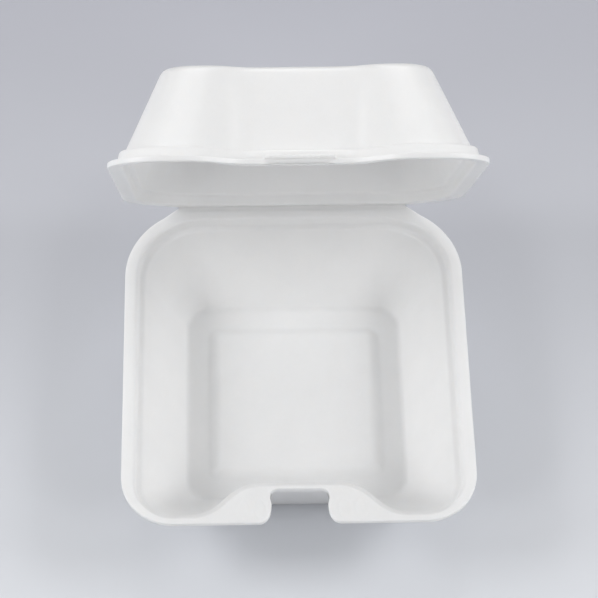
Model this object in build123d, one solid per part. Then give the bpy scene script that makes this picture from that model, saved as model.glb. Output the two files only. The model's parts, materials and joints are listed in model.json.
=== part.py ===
from build123d import *
from math import cos, radians, sin
import os

# Foam clamshell container, open, in millimetres.
# The tray stands on the table: z = 0 is the foot, +X is to the right, the front is at -Y.
# The lid is drawn closed over the tray and then swung open about the hinge crease.

# ---- driving dimensions ----
sheet = 2.2                 # thickness of the foamed sheet
rim_half_width = 75.0       # tray and lid rims are 150 wide
rim_front = -80.0           # straight front edge of the tray rim
hinge_y = 79.0              # line of the pressed hinge crease
rim_top = 42.5              # height of the tray rim
front_corner = 22.5         # outer corner radii of both rims
rear_corner = 36.0
hinge_half = 51.5           # half length of the hinge crease
hinge_turn = 58.0           # degrees round the rear corner where the edge leaves for the hinge end
rim_gap = 0.3               # play between the two rims when the box is shut
lid_opening = 62.0          # degrees open as it stands

bay_half = 15.5             # straight middle of the set-back front wall
bay_end = 46.0              # where the S-shaped part of the front wall ends
bay_depth = 14.5            # how far the middle of the front wall is set back

floor_half = 48.5           # inside floor, a rounded square
floor_corner = 9.5
panel_half = 38.5           # raised panel in the middle of the floor
panel_corner = 5.0
panel_rise = 2.4
panel_slope = 4.2

lid_height = 41.0           # lid roof above the underside of the lid rim
roof_half = 54.9            # lid roof, measured where its edge starts to round over
roof_panel_half = 33.5      # raised panel on the roof, seats in the foot of the next box
roof_panel_rise = 1.2

notch_depth = 15.7          # latch notch in the tray's front edge
notch_bulb = 12.55          # half widths: inner bulb, neck and flared mouth
notch_neck = 11.9
notch_mouth = 17.5

tab_half = 14.3             # latch tab on the lid
tab_height = 3.7
tab_thick = 2.4
tab_key = 0.5               # how far the tab drops into the notch

hinge_z = rim_top + rim_gap / 2
lid_base = rim_top + rim_gap


# ---- outlines ----
# An outline is a list: half width, front y, back y, front corner radius, back corner radius,
# set-back of the middle of the front, and the outer and inner x of the S-shaped parts.
tray_mouth = [69.5, -76.5, 72.6, 17.0, 30.0, bay_depth, bay_end, bay_half]
tray_floor = [floor_half, -floor_half, floor_half + 0.5, floor_corner, floor_corner, 0.0, 38.0, bay_half]
lid_mouth = [69.4, -76.5, 72.6, 17.0, 30.0, bay_depth, bay_end, bay_half]
lid_roof = [roof_half, -60.0, 57.5, 13.5, 19.0, 5.0, 39.0, bay_half]
tray_rim = [rim_half_width, rim_front, hinge_y, front_corner, rear_corner, 0.0, bay_end, bay_half]
lid_rim = [rim_half_width, rim_front, hinge_y, front_corner, rear_corner, 12.4, bay_end, bay_half]


def grown(outline, by):
    """The same outline with every edge moved outward by the given amount."""
    side, front, back, rf, rb, bay, far, near = outline
    return [side + by, front - by, back + by, rf + by, rb + by, bay, far - 0.3 * by, near - 0.3 * by]


def mixed(first, second, share):
    """An outline part of the way from the first to the second."""
    return [p + (q - p) * share for p, q in zip(first, second)]


def corner(x, y, radius, side_x, side_y):
    """Quarter circle in the corner that points toward side_x, side_y, drawn anticlockwise."""
    k = radius * 0.5 ** 0.5
    on_x, on_y = (x + side_x * radius, y), (x, y + side_y * radius)
    start, end = (on_x, on_y) if side_x * side_y > 0 else (on_y, on_x)
    return ThreePointArc(start, (x + side_x * k, y + side_y * k), end)


def s_curve(x_near, y_near, x_far, y_far):
    """Smooth S from the set-back middle of the front to its straight end."""
    half = (x_far - x_near) / 2
    return Bezier((x_near, y_near), (x_near + half, y_near), (x_far - half, y_far), (x_far, y_far))


def ring(outline, z):
    """Closed wire of twelve edges at height z."""
    side, front, back, rf, rb, bay, far, near = outline
    middle = front + bay
    edges = [
        Line((-near, middle), (near, middle)),
        s_curve(near, middle, far, front),
        Line((far, front), (side - rf, front)),
        corner(side - rf, front + rf, rf, 1, -1),
        Line((side, front + rf), (side, back - rb)),
        corner(side - rb, back - rb, rb, 1, 1),
        Line((side - rb, back), (rb - side, back)),
        corner(rb - side, back - rb, rb, -1, 1),
        Line((-side, back - rb), (-side, front + rf)),
        corner(rf - side, front + rf, rf, -1, -1),
        Line((rf - side, front), (-far, front)),
        s_curve(-far, front, -near, middle),
    ]
    return Pos(0, 0, z) * Wire(edges)


def skin(levels):
    """Solid bounded by a stack of (outline, height) rings."""
    return Solid.make_loft([ring(outline, z) for outline, z in levels], ruled=True)


def square_ring(half_x, half_y, radius, z):
    return Pos(0, 0, z) * RectangleRounded(2 * half_x, 2 * half_y, radius).face().outer_wire()


def pad(half, radius, slope, z_low, z_high):
    """Low raised panel with sloping edges."""
    return Solid.make_loft(
        [square_ring(half, half, radius, z_low),
         square_ring(half - slope, half - slope, radius - slope * 0.4, z_high)], ruled=True)


def rim_plate(outline, z):
    """Flat flange; behind its rear corners the edge runs straight to the ends of the hinge crease."""
    across_corner = rim_half_width - rear_corner * (1 - cos(radians(hinge_turn)))
    behind_corner = hinge_y - rear_corner * (1 - sin(radians(hinge_turn)))
    end_y = hinge_y - rim_gap / 2
    strip = Polyline(
        (across_corner, behind_corner), (hinge_half, end_y),
        (-hinge_half, end_y), (-across_corner, behind_corner), close=True)
    outline = outline[:2] + [end_y] + outline[3:4] + [rear_corner - rim_gap / 2] + outline[5:]
    plate = extrude(Face(ring(outline, z)), sheet)
    return plate + Pos(0, 0, z) * extrude(make_face(strip), sheet)


def notch_shape(inset):
    """Keyhole opening seen from above, shrunk all round by the inset."""
    back = rim_front + notch_depth - inset
    bulb, neck, mouth = notch_bulb - inset, notch_neck - inset, notch_mouth - inset
    half = [
        ((0, back), (bulb - 4.4, back)),
        ((bulb - 4.4, back), (bulb - 0.9, back - 0.8), (bulb, back - 4.2)),
        ((bulb, back - 4.2), (bulb, back - 5.2), (neck, back - 5.8), (neck, back - 7.2)),
        ((neck, back - 7.2), (neck, rim_front + 3.2), (mouth - 3.6, rim_front), (mouth, rim_front)),
        ((mouth, rim_front), (mouth, rim_front - 5), (0, rim_front - 5)),
    ]
    right = Line(*half[0]) + ThreePointArc(*half[1]) + Bezier(*half[2]) + Bezier(*half[3]) + Polyline(*half[4])
    return make_face(right + mirror(right, Plane.YZ))


# ---- tray ----
# Both halves have a shoulder under the rim: a steep step, then a narrow ledge, then the sloping wall.
wall_top = grown(tray_mouth, -3.2)
wall_foot = grown(tray_floor, 1.0)
lean = (wall_top[0] - wall_foot[0]) / (37.4 - 4.2)     # sideways run of the wall per unit of height
across = sheet * (1 + lean ** 2) ** 0.5                # thickness of the sloping wall, measured level

tray_outside = skin([
    (grown(tray_floor, 0.3), 0.0),
    (grown(tray_floor, 1.2), 0.3),
    (grown(wall_foot, across - 3.0 * lean), 1.2),
    (grown(wall_top, across - 1.8 * lean), 35.6),
    (grown(tray_mouth, 0.2), 36.0),
    (grown(tray_mouth, 0.9), 36.6),
    (grown(tray_mouth, 1.3), 37.6),
    (grown(tray_mouth, 1.7), 41.4),
])
tray_inside = skin([
    (grown(tray_floor, -1.6), 2.2),
    (grown(tray_floor, -0.5), 2.4),
    (grown(tray_floor, 0.3), 3.0),
    (wall_foot, 4.2),
    (wall_top, 37.4),
    (grown(tray_mouth, -2.2), 37.8),
    (grown(tray_mouth, -1.3), 38.4),
    (grown(tray_mouth, -0.9), 39.2),
    (grown(tray_mouth, -0.5), 41.4),
    (grown(tray_mouth, -0.2), 42.1),
    (grown(tray_mouth, 0.35), rim_top),
    (grown(tray_mouth, 0.35), rim_top + 2),
])
panel_drop = sheet * (1 + (panel_rise / panel_slope) ** 2) ** 0.5 - sheet
recess_half = panel_half - panel_drop * panel_slope / panel_rise

tray = tray_outside + rim_plate(tray_rim, rim_top - sheet)
tray -= tray_inside
tray += pad(panel_half, panel_corner, panel_slope, sheet, sheet + panel_rise)
tray -= pad(recess_half, panel_corner, panel_slope, 0.0, panel_rise)
tray -= Pos(0, 0, rim_top - 4) * extrude(notch_shape(0), 8)

# two small pressed ovals in the flange on each side of the notch
for x in (-24.0, -17.0, 18.6, 25.6):
    oval = Ellipse(2.7, 4.6) - Ellipse(1.9, 3.8)
    tray -= Pos(x, -73.4, rim_top - 0.25) * extrude(oval, 1)

# ---- lid, drawn closed with the underside of its rim at z = 0 ----
lid_top = grown(lid_mouth, -1.4)
lid_lean = (lid_top[0] - lid_roof[0]) / (36.8 - 6.3)
lid_across = sheet * (1 + lid_lean ** 2) ** 0.5

lid_outside = skin([
    (grown(lid_mouth, 1.8), 1.0),
    (grown(lid_mouth, 1.8), 2.3),
    (grown(lid_mouth, 1.4), 2.8),
    (grown(lid_mouth, 1.1), 4.6),
    (grown(lid_mouth, 0.6), 5.5),
    (grown(lid_mouth, -0.2), 6.0),
    (lid_top, 6.3),
    (lid_roof, 36.8),
    (grown(lid_roof, -0.7), 38.6),
    (grown(lid_roof, -1.9), 40.0),
    (grown(lid_roof, -3.6), 40.8),
    (grown(lid_roof, -5.4), lid_height),
])
lid_inside = skin([
    (grown(lid_mouth, 0.3), -2.0),
    (grown(lid_mouth, 0.3), 0.0),
    (grown(lid_mouth, -0.3), 0.4),
    (grown(lid_mouth, -0.7), 1.2),
    (grown(lid_mouth, -1.1), 3.4),
    (grown(lid_mouth, -1.6), 4.0),
    (grown(lid_mouth, -2.6), 4.4),
    (grown(mixed(lid_top, lid_roof, -1.5 / 30.5), -lid_across), 4.8),
    (grown(mixed(lid_top, lid_roof, 29.3 / 30.5), -lid_across), 35.6),
    (grown(lid_roof, -2.9), 37.0),
    (grown(lid_roof, -4.0), 38.2),
    (grown(lid_roof, -5.6), lid_height - sheet),
])
roof_pad = pad(roof_panel_half, 7.0, 1.0, lid_height - 0.5, lid_height + roof_panel_rise)
roof_hollow = pad(roof_panel_half - 1.6, 5.6, 1.0, lid_height - sheet - 0.5, lid_height - sheet + roof_panel_rise)

lid = lid_outside + rim_plate(lid_rim, 0)
lid += roof_pad
lid -= lid_inside
lid -= roof_hollow

# latch tab: a thick upright lip on the set-back middle of the rim; its lower edge enters the notch
tab_front = lid_rim[1] + lid_rim[5]
tab_face = make_face(Polyline(
    (-tab_half, 0), (tab_half, 0), (tab_half, tab_height - 0.6), (tab_half - 0.6, tab_height),
    (1.5 - tab_half, tab_height), (0.2 - tab_half, 0.8), (-tab_half, 0)))
lip = Pos(0, tab_front, 0) * Rot(90, 0, 0) * extrude(tab_face, -tab_thick)
key = Pos(0, 0, -tab_key) * extrude(notch_shape(0.4), tab_key + 0.5)
key &= Pos(0, tab_front + tab_thick / 2, 0) * Box(60, tab_thick, 10)
lid += lip
lid += key
for i in range(-5, 6):
    lid -= Pos(i * 2.3, tab_front, 0.3 + tab_height / 2) * Box(0.5, 0.4, tab_height - 1.4)

lid = Pos(0, 0, lid_base) * lid
lid = lid.rotate(Axis((0, hinge_y, hinge_z), (1, 0, 0)), -lid_opening)

# ---- one file for each body of the box ----
os.makedirs("parts", exist_ok=True)
for name, shape in (("base_tray", tray), ("lid", lid)):
    export_step(shape, "parts/" + name + ".step")
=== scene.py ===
import json
import math

import bmesh
import bpy
import numpy as np
from mathutils import Matrix, Vector


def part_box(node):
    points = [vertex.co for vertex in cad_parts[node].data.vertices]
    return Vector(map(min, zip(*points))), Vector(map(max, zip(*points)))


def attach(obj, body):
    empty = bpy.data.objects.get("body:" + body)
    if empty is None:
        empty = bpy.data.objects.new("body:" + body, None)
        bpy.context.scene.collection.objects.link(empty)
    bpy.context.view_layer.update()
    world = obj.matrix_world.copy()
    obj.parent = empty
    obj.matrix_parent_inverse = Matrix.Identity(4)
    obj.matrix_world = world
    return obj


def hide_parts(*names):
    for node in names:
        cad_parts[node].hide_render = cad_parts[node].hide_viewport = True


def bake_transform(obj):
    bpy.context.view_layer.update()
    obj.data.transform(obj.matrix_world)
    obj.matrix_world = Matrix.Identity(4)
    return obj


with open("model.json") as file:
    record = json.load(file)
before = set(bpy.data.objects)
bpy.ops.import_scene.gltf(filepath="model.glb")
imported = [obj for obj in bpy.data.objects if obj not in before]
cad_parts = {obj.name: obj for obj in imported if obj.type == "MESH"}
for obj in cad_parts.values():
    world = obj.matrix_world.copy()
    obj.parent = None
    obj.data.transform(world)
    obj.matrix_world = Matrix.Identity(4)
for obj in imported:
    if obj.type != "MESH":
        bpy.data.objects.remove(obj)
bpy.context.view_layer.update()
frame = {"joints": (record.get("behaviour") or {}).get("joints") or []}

# Lengths below are in millimetres and are turned into metres when a mesh is made.
MM = 0.001
hinge = frame["joints"][0]
tray_low, tray_high = (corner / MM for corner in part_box("base_tray"))

# ---- sizes read from the frame ----
half_width = tray_high.x
rim_front = tray_low.y
rim_top = tray_high.z
hinge_y = hinge["pos_m"][1] / MM
hinge_z = hinge["pos_m"][2] / MM
opening = -math.radians(hinge["range_deg"][0])
lid_base = 2 * hinge_z - rim_top

# ---- driving values of the shape, as in the CAD ----
sheet = 2.2
hinge_half = 51.5
hinge_turn = 58.0            # degrees round the rear corner where the edge leaves for the hinge end
edge_play = 0.15
lid_height = 41.0
latch_edge = 12.4
notch_depth = 15.7
notch_bulb = 12.55
notch_neck = 11.9
notch_mouth = 17.5
tab_half = 14.3
tab_height = 3.7
tab_thick = 2.4
tab_key = 0.3
key_half = 11.6

# An outline is: half width, front y, back y, front corner radius, back corner radius,
# set-back of the middle of the front, and the outer and inner x of the S-shaped parts.
tray_mouth = [69.5, -76.5, 72.6, 17.0, 30.0, 14.5, 46.0, 15.5]
tray_floor = [48.5, -48.5, 49.0, 9.5, 9.5, 0.0, 38.0, 15.5]
lid_mouth = [69.4, -76.5, 72.6, 17.0, 30.0, 14.5, 46.0, 15.5]
lid_roof = [54.9, -60.0, 57.5, 13.5, 19.0, 5.0, 39.0, 15.5]
rim = [half_width, rim_front, hinge_y, 22.5, 36.0, 0.0, 46.0, 15.5]

# Points on each stretch of half a ring, from the middle of the front to the middle of the back.
MIDDLE, CURVE, STRAIGHT, FRONT_ARC, SIDE, REAR_ARC, BACK = 30, 48, 6, 26, 36, 30, 20


def grown(outline, by):
    """The same outline with every edge moved outward."""
    side, front, back, rf, rb, bay, far, near = outline
    return [side + by, front - by, back + by, rf + by, rb + by, bay, far - 0.3 * by, near - 0.3 * by]


def mixed(first, second, share):
    return [p + (q - p) * share for p, q in zip(first, second)]


def square(half, radius):
    return [half, -half, half, radius, radius, 0.0, 0.7 * (half - radius), 0.3 * half]


def span(start, end, count):
    """Evenly spaced points of a straight run, without its last one."""
    share = np.arange(count)[:, None] / count
    return np.array(start, float) * (1 - share) + np.array(end, float) * share


def arc(x, y, radius, start, end, count):
    angle = np.radians(start + (end - start) * np.arange(count) / count)
    return np.column_stack([x + radius * np.cos(angle), y + radius * np.sin(angle)])


def bezier(points, count):
    t = (np.arange(count) / count)[:, None]
    a, b, c, d = (np.array(p, float) for p in points)
    return a * (1 - t) ** 3 + 3 * b * t * (1 - t) ** 2 + 3 * c * t ** 2 * (1 - t) + d * t ** 3


def closed(half, z):
    """Whole ring at height z from its right half."""
    left = half[-2:0:-1] * (-1, 1)
    flat = np.vstack([half, left])
    return np.column_stack([flat, np.full(len(flat), z)])


def ring(outline, z):
    side, front, back, rf, rb, bay, far, near = outline
    middle = front + bay
    bend = (far - near) / 2
    half = np.vstack([
        span((0, middle), (near, middle), MIDDLE),
        bezier([(near, middle), (near + bend, middle), (far - bend, front), (far, front)], CURVE),
        span((far, front), (side - rf, front), STRAIGHT),
        arc(side - rf, front + rf, rf, -90, 0, FRONT_ARC),
        span((side, front + rf), (side, back - rb), SIDE),
        arc(side - rb, back - rb, rb, 0, 90, REAR_ARC),
        span((side - rb, back), (0, back), BACK),
        [(0.0, back)],
    ])
    return closed(half, z)


def notch_edge():
    """Right half of the latch notch, from its inner end to where it meets the front edge."""
    back = rim_front + notch_depth
    return [
        span((0, back), (notch_bulb - 4.4, back), 14),
        bezier([(notch_bulb - 4.4, back), (notch_bulb - 1.3, back),
                (notch_bulb, back - 1.3), (notch_bulb, back - 4.2)], 8),
        bezier([(notch_bulb, back - 4.2), (notch_bulb, back - 5.2),
                (notch_neck, back - 5.8), (notch_neck, back - 7.2)], 8),
        bezier([(notch_neck, back - 7.2), (notch_neck, rim_front + 3.2),
                (notch_mouth - 3.6, rim_front), (notch_mouth, rim_front)], 24),
        span((notch_mouth, rim_front), (rim[6], rim_front), 24),
    ]


def bay_edge(bay):
    """Right half of the lid rim's front, set back for the latch."""
    near, far = rim[7], rim[6]
    bend = (far - near) / 2
    middle = rim_front + bay
    return [
        span((0, middle), (near, middle), MIDDLE),
        bezier([(near, middle), (near + bend, middle), (far - bend, rim_front), (far, rim_front)], CURVE),
    ]


def rim_ring(front_edge, z):
    """Outer edge of a flange, with the strip that reaches back to the hinge crease."""
    side, front, back, rf, rb = rim[:5]
    back -= edge_play
    turn = math.radians(hinge_turn)
    shoulder = (side - rb + rb * math.cos(turn), rim[2] - rb + rb * math.sin(turn))
    half = np.vstack(front_edge + [
        span((rim[6], front), (side - rf, front), STRAIGHT),
        arc(side - rf, front + rf, rf, -90, 0, FRONT_ARC),
        span((side, front + rf), (side, rim[2] - rb), SIDE),
        arc(side - rb, rim[2] - rb, rb, 0, hinge_turn, REAR_ARC - 8),
        span(shoulder, (hinge_half, back), 8),
        span((hinge_half, back), (0, back), BACK),
        [(0.0, back)],
    ])
    return closed(half, z)


def rounded(stations, steps=5, longest=5.0):
    """Stack of rings through (ring, rounding, spacing before it), with each corner rounded."""
    rings = [stations[0][0]]
    for i in range(1, len(stations) - 1):
        before, (here, radius), after = stations[i - 1][0], stations[i][:2], stations[i + 1][0]
        spacing = stations[i][2] if len(stations[i]) > 2 else longest
        back, ahead = before - here, after - here
        back_length = np.linalg.norm(back, axis=1, keepdims=True) + 1e-9
        ahead_length = np.linalg.norm(ahead, axis=1, keepdims=True) + 1e-9
        first = here + back / back_length * np.minimum(radius, 0.45 * back_length)
        last = here + ahead / ahead_length * np.minimum(radius, 0.45 * ahead_length)
        rings += between(rings[-1], first, spacing)
        for k in range(steps + 1):
            t = k / steps
            rings.append(first * (1 - t) ** 2 + here * 2 * t * (1 - t) + last * t ** 2)
    rings += between(rings[-1], stations[-1][0], longest)
    rings.append(stations[-1][0])
    return rings


def between(first, last, longest):
    """Rings that split a long straight stretch."""
    length = np.linalg.norm(last - first, axis=1).max()
    count = int(length // longest)
    return [first + (last - first) * (k + 1) / (count + 1) for k in range(count)]


def shell(rings, first_centre, last_centre):
    """Vertices and faces of a closed shell that starts and ends at a centre point."""
    count = len(rings[0])
    points = np.vstack([[first_centre]] + rings + [[last_centre]])
    faces = []
    for j in range(count):
        k = (j + 1) % count
        faces.append((0, 1 + j, 1 + k))
        for i in range(len(rings) - 1):
            a = 1 + i * count
            b = a + count
            faces.append((a + j, b + j, b + k, a + k))
        a = 1 + (len(rings) - 1) * count
        faces.append((a + j, len(points) - 1, a + k))
    return points, faces


def opened(points):
    """Takes points of the closed lid, from its rim up, to where the lid stands open."""
    c, s = math.cos(opening), math.sin(opening)
    y = points[:, 1] - hinge_y
    z = points[:, 2] + lid_base - hinge_z
    return np.column_stack([points[:, 0], hinge_y + y * c + z * s, hinge_z - y * s + z * c])


def make_piece(name, points, faces, material, smooth_under=38.0):
    mesh = bpy.data.meshes.new(name)
    mesh.from_pydata((points * MM).tolist(), [], faces)
    mesh.validate()
    outward = bmesh.new()
    outward.from_mesh(mesh)
    bmesh.ops.recalc_face_normals(outward, faces=outward.faces)
    outward.to_mesh(mesh)
    outward.free()
    mesh.polygons.foreach_set("use_smooth", [True] * len(mesh.polygons))
    mesh.set_sharp_from_angle(angle=math.radians(smooth_under))
    mesh.materials.append(material)
    obj = bpy.data.objects.new(name, mesh)
    bpy.context.scene.collection.objects.link(obj)
    return obj


# ---- materials ----
def foam_material(name, seed, glow=1.0):
    """White foamed sheet: satin skin over fine closed cells, with faint cloudy patches."""
    material = bpy.data.materials.new(name)
    material.use_nodes = True
    nodes, links = material.node_tree.nodes, material.node_tree.links
    skin = nodes["Principled BSDF"]
    where = nodes.new("ShaderNodeTexCoord")
    shift = nodes.new("ShaderNodeMapping")
    shift.inputs["Location"].default_value = (seed, seed, seed)
    links.new(where.outputs["Object"], shift.inputs["Vector"])

    clouds = nodes.new("ShaderNodeTexNoise")
    clouds.inputs["Scale"].default_value = 45.0
    clouds.inputs["Detail"].default_value = 4.0
    links.new(shift.outputs["Vector"], clouds.inputs["Vector"])
    tone = nodes.new("ShaderNodeValToRGB")
    tone.color_ramp.elements[0].position = 0.3
    tone.color_ramp.elements[0].color = (0.91, 0.911, 0.912, 1.0)
    tone.color_ramp.elements[1].position = 0.7
    tone.color_ramp.elements[1].color = (0.945, 0.946, 0.946, 1.0)
    links.new(clouds.outputs["Fac"], tone.inputs["Fac"])

    grain = nodes.new("ShaderNodeTexNoise")
    grain.inputs["Scale"].default_value = 260.0
    grain.inputs["Detail"].default_value = 2.0
    links.new(shift.outputs["Vector"], grain.inputs["Vector"])
    relief = nodes.new("ShaderNodeBump")
    relief.inputs["Strength"].default_value = 0.05
    relief.inputs["Distance"].default_value = 0.0001
    links.new(grain.outputs["Fac"], relief.inputs["Height"])
    links.new(relief.outputs["Normal"], skin.inputs["Normal"])

    cells = nodes.new("ShaderNodeTexVoronoi")
    cells.inputs["Scale"].default_value = 1300.0
    links.new(shift.outputs["Vector"], cells.inputs["Vector"])
    cell_tone = nodes.new("ShaderNodeMapRange")
    cell_tone.inputs["To Min"].default_value = 0.985
    cell_tone.inputs["To Max"].default_value = 1.0
    links.new(cells.outputs["Distance"], cell_tone.inputs["Value"])
    speckled = nodes.new("ShaderNodeVectorMath")
    speckled.operation = "SCALE"
    links.new(tone.outputs["Color"], speckled.inputs[0])
    links.new(cell_tone.outputs["Result"], speckled.inputs["Scale"])
    links.new(speckled.outputs["Vector"], skin.inputs["Base Color"])

    skin.inputs["Roughness"].default_value = 0.32
    skin.inputs["Specular IOR Level"].default_value = 0.5
    skin.inputs["Subsurface Weight"].default_value = glow
    skin.inputs["Subsurface Radius"].default_value = (1.0, 0.98, 0.96)
    skin.inputs["Subsurface Scale"].default_value = 0.0016
    return material


tray_foam = foam_material("tray_foam_skin", 0.0)
lid_foam = foam_material("lid_foam_skin", 3.7)
pressed_foam = foam_material("pressed_foam_skin", 1.9, glow=0.0)


# ---- tray ----
def tray_shell():
    foot = 0.0
    panel_top, panel_foot, panel_rise = 34.3, 38.5, 2.4
    recess_foot, recess_top = 37.92, 33.72
    inner_foot = grown(tray_floor, 1.0)
    outer_foot = grown(tray_floor, 1.9)
    edge = notch_edge()
    stations = [
        (ring(square(1.0, 0.1), sheet + panel_rise), 0.0),
        (ring(square(panel_top, 4.0), sheet + panel_rise), 2.0),
        (ring(square(panel_foot, 5.0), sheet), 1.6),
        (ring(mixed(tray_floor, inner_foot, 0.0), sheet), 2.2),
        (ring(grown(tray_mouth, -3.2), 37.4), 0.9),
        (ring(grown(tray_mouth, -0.9), 38.5), 0.9),
        (ring(grown(tray_mouth, 0.2), rim_top), 1.3),
        (rim_ring(edge, rim_top), 0.4, 0.6),
        (rim_ring(edge, rim_top - sheet), 0.4),
        (ring(grown(tray_mouth, 1.7), rim_top - sheet), 0.4),
        (ring(grown(tray_mouth, 1.2), 36.7), 0.8),
        (ring(grown(tray_mouth, -0.9), 35.6), 0.8),
        (ring(outer_foot, foot), 1.4),
        (ring(square(recess_foot, 5.0), foot), 0.5),
        (ring(square(recess_top, 4.0), foot + panel_rise), 0.8),
        (ring(square(1.0, 0.1), foot + panel_rise), 0.0),
    ]
    rings = rounded(stations)
    return shell(rings, (0, 0, sheet + panel_rise), (0, 0, foot + panel_rise))


def pressed(points):
    """Two small ovals pressed into the flange on each side of the notch."""
    half_x, half_y, depth, groove = 2.3, 4.2, 0.25, 0.45
    on_top = points[:, 2] > rim_top - 0.05
    for x in (-24.0, -17.0, 18.6, 25.6):
        reach = np.hypot((points[:, 0] - x) / half_x, (points[:, 1] + 73.4) / half_y)
        from_line = (reach - 1) * half_x / groove
        points[:, 2] -= on_top * depth * np.exp(-from_line ** 2)
    return points


points, faces = tray_shell()
points = pressed(points)
tray = make_piece("tray_shell", points, faces, tray_foam)
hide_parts("base_tray")
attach(tray, "tray")


# ---- lid ----
def lid_shell():
    roof_panel, roof_rise = 33.5, 1.2
    top = grown(lid_mouth, -1.4)
    edge = bay_edge(latch_edge)
    inner_top = mixed(top, lid_roof, -1.6 / 30.5)
    stations = [
        (ring(square(1.0, 0.1), lid_height - sheet + roof_rise), 0.0),
        (ring(square(roof_panel - 2.6, 5.0), lid_height - sheet + roof_rise), 0.8),
        (ring(square(roof_panel - 1.6, 5.6), lid_height - sheet), 0.6),
        (ring(grown(lid_roof, -3.3), lid_height - sheet), 2.5),
        (ring(grown(inner_top, -2.5), 4.7), 0.8),
        (ring(grown(lid_mouth, -1.2), 4.2), 0.9),
        (ring(grown(lid_mouth, -0.3), 0.0), 0.9),
        (rim_ring(edge, 0.0), 0.4),
        (rim_ring(edge, sheet), 0.4),
        (ring(grown(lid_mouth, 1.7), sheet), 0.6),
        (ring(grown(lid_mouth, 0.7), 6.4), 1.2),
        (ring(grown(top, 0.1), 5.9), 0.35),
        (ring(grown(lid_roof, -1.6), lid_height), 3.6),
        (ring(square(roof_panel, 7.0), lid_height), 0.5),
        (ring(square(roof_panel - 1.0, 6.6), lid_height + roof_rise), 0.8),
        (ring(square(1.0, 0.1), lid_height + roof_rise), 0.0),
    ]
    rings = rounded(stations)
    return shell(rings, (0, 0, lid_height - sheet + roof_rise), (0, 0, lid_height + roof_rise))


points, faces = lid_shell()
lid = make_piece("lid_shell", opened(points), faces, lid_foam)
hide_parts("lid")
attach(lid, "lid")


# ---- latch tab on the lid's front edge ----
def tab_section(inset, thickness, low, high):
    """Closed section of the tab in the (back, up) plane, with rounded corners."""
    radius = 0.45
    corners = [(0, low), (thickness, low), (thickness, high), (0, high)]
    loop = []
    for i, (y, z) in enumerate(corners):
        inner_y = radius if y == 0 else y - radius
        inner_z = z + radius if z == low else z - radius
        for k in range(5):
            angle = math.radians(180 + 90 * i + 90 * k / 4)
            loop.append((inner_y + radius * math.cos(angle), inner_z + radius * math.sin(angle)))
    centre = np.array([thickness / 2, (low + high) / 2])
    return centre + (np.array(loop) - centre) * (1 - inset)


def tab_bar(columns=160):
    """Upright bar on the lid's front edge: fine ribs on its face, a leaning left end, and a lower
    middle that drops into the notch."""
    front = rim_front + latch_edge
    rings = []
    for i in range(columns + 1):
        x = -tab_half + 2 * tab_half * i / columns
        end = min(x + tab_half, tab_half - x)
        drop = tab_key * min(1.0, max(0.0, (key_half - abs(x)) / 0.6))
        loop = tab_section(0.25 * max(0.0, 1 - end / 0.5) ** 2, tab_thick, -drop, tab_height)
        height = np.clip(loop[:, 1] / tab_height, 0, 1)
        rib = 0.2 * (0.5 - 0.5 * math.cos(2 * math.pi * x / 2.3))
        face = np.clip(1 - loop[:, 0] / 0.5, 0, 1) * np.clip(4 * height * (1 - height), 0, 1)
        lean = 1.3 * height * (tab_half - x) / (2 * tab_half)
        back = front + loop[:, 0] * (1 - 0.2 * height) + 0.2 * height + face * rib
        rings.append(np.column_stack([x + lean, back, loop[:, 1]]))
    return shell(rings, rings[0].mean(axis=0), rings[-1].mean(axis=0))


points, faces = tab_bar()
tab = make_piece("latch_tab", opened(points), faces, lid_foam)
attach(tab, "lid")


# ---- hinge web: the thin pressed crease that joins the two flanges ----
def hinge_web():
    thin = 0.5
    reach = 1.6
    e = np.array([-math.cos(opening), math.sin(opening)])
    n = np.array([math.sin(opening), math.cos(opening)])
    axis = np.array([hinge_y, hinge_z])
    depth = edge_play + thin / 2 - 0.02
    path = [axis + (-reach, -depth), axis + (-0.5, -depth), axis + (0.1, -depth)]
    for share in (0.25, 0.5, 0.75):
        turn = (1 - share) * np.array([0, -1]) + share * n
        path.append(axis + depth * turn / np.linalg.norm(turn))
    path += [axis + depth * n, axis + depth * n + 0.5 * e, axis + depth * n + reach * e]
    path = np.array(path)
    along = np.gradient(path, axis=0)
    along /= np.linalg.norm(along, axis=1, keepdims=True)
    side = np.column_stack([-along[:, 1], along[:, 0]])
    loop = np.vstack([path + side * thin / 2, (path - side * thin / 2)[::-1]])
    columns = 40
    rings = []
    for i in range(columns + 1):
        x = -hinge_half + 0.1 + (2 * hinge_half - 0.2) * i / columns
        rings.append(np.column_stack([np.full(len(loop), x), loop]))
    return shell(rings, rings[0].mean(axis=0), rings[-1].mean(axis=0))


points, faces = hinge_web()
web = make_piece("hinge_web", points, faces, pressed_foam)
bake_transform(web)


# ---- floor, light and camera ----
def floor_material():
    material = bpy.data.materials.new("floor_paper_painted_falloff")
    material.use_nodes = True
    nodes, links = material.node_tree.nodes, material.node_tree.links
    paper = nodes["Principled BSDF"]
    where = nodes.new("ShaderNodeNewGeometry")
    split = nodes.new("ShaderNodeSeparateXYZ")
    links.new(where.outputs["Position"], split.inputs["Vector"])
    # Painted shade: the floor colour runs from light at the front to darker at the back, standing in for
    # light falling off across the floor.
    depth = nodes.new("ShaderNodeMapRange")
    depth.inputs["From Min"].default_value = -0.14
    depth.inputs["From Max"].default_value = 0.30
    links.new(split.outputs["Y"], depth.inputs["Value"])
    tone = nodes.new("ShaderNodeValToRGB")
    tone.color_ramp.elements[0].color = (0.78, 0.80, 0.835, 1.0)
    tone.color_ramp.elements[1].color = (0.475, 0.48, 0.538, 1.0)
    links.new(depth.outputs["Result"], tone.inputs["Fac"])
    links.new(tone.outputs["Color"], paper.inputs["Base Color"])
    paper.inputs["Roughness"].default_value = 0.7
    paper.inputs["Specular IOR Level"].default_value = 0.2
    return material


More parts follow.
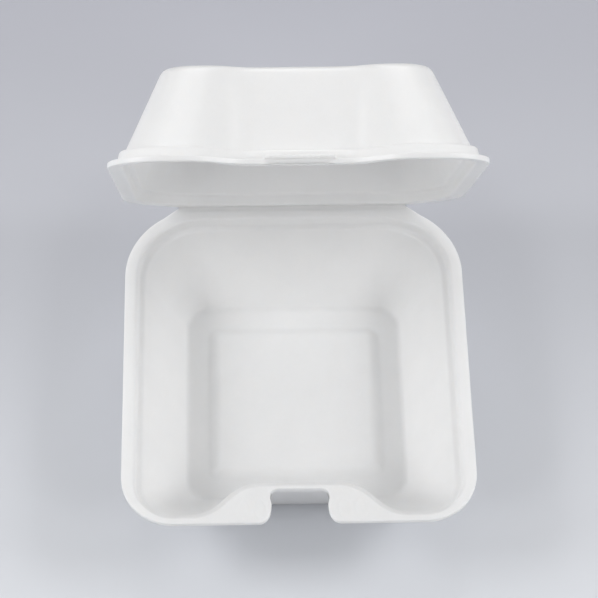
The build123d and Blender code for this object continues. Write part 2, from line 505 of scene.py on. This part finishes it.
half_floor = 3000.0
floor_points = np.array([(-half_floor, -half_floor, 0), (half_floor, -half_floor, 0),
                         (half_floor, half_floor, 0), (-half_floor, half_floor, 0)], float)
floor = make_piece("floor", floor_points, [(0, 1, 2, 3)], floor_material())


def softbox(name, place, aim, size, watts):
    data = bpy.data.lights.new(name, "AREA")
    data.shape = "SQUARE"
    data.size = size
    data.energy = watts
    lamp = bpy.data.objects.new(name, data)
    lamp.location = place
    lamp.rotation_euler = (Vector(aim) - Vector(place)).to_track_quat("-Z", "Y").to_euler()
    bpy.context.scene.collection.objects.link(lamp)


middle = (0.0, 0.0, 0.04)
sky_low = 0.20             # light level of the room at the horizon and straight up
sky_high = 0.34
softbox("rear_light", (0.0, 1.0, 1.0), middle, 0.6, 3.5)
for side, way, share in (("left", -1, 1.03), ("right", 1, 0.97)):
    softbox(side + "_light", (1.0 * way, 0.0, 0.9), middle, 0.45, 4.2 * share)
    softbox(side + "_front_light", (0.8 * way, -0.7, 0.9), middle, 0.30, 2.1 * share)
    softbox(side + "_low_light", (1.3 * way, -0.1, 0.45), middle, 0.5, 2.4 * share)

world = bpy.data.worlds.new("studio")
world.use_nodes = True
sky_nodes, sky_links = world.node_tree.nodes, world.node_tree.links
aim = sky_nodes.new("ShaderNodeTexCoord")
aim_parts = sky_nodes.new("ShaderNodeSeparateXYZ")
sky_links.new(aim.outputs["Generated"], aim_parts.inputs["Vector"])
fade = sky_nodes.new("ShaderNodeMapRange")
fade.inputs["To Min"].default_value = sky_low
fade.inputs["To Max"].default_value = sky_high
sky_links.new(aim_parts.outputs["Z"], fade.inputs["Value"])
sky_nodes["Background"].inputs["Color"].default_value = (1.0, 1.0, 1.0, 1.0)
sky_links.new(fade.outputs["Result"], sky_nodes["Background"].inputs["Strength"])
bpy.context.scene.world = world
bpy.context.scene.view_settings.view_transform = "Standard"

azimuth, elevation, roll = math.radians(-2.48), math.radians(57.93), math.radians(1.34)
distance = 0.98343
target = Vector((0.00196, 0.02951, 0.0425))
back = Vector((math.sin(azimuth) * math.cos(elevation), -math.cos(azimuth) * math.cos(elevation),
               math.sin(elevation)))
level = Vector((0, 0, 1)).cross(back).normalized()
upright = back.cross(level)
right = math.cos(roll) * level + math.sin(roll) * upright
up = -math.sin(roll) * level + math.cos(roll) * upright
camera_data = bpy.data.cameras.new("camera")
camera_data.lens = 133.9
camera_data.sensor_width = 36.0
camera = bpy.data.objects.new("camera", camera_data)
place = target + back * distance
camera.matrix_world = Matrix((
    (right.x, up.x, back.x, place.x),
    (right.y, up.y, back.y, place.y),
    (right.z, up.z, back.z, place.z),
    (0, 0, 0, 1),
))
bpy.context.scene.collection.objects.link(camera)
bpy.context.scene.camera = camera
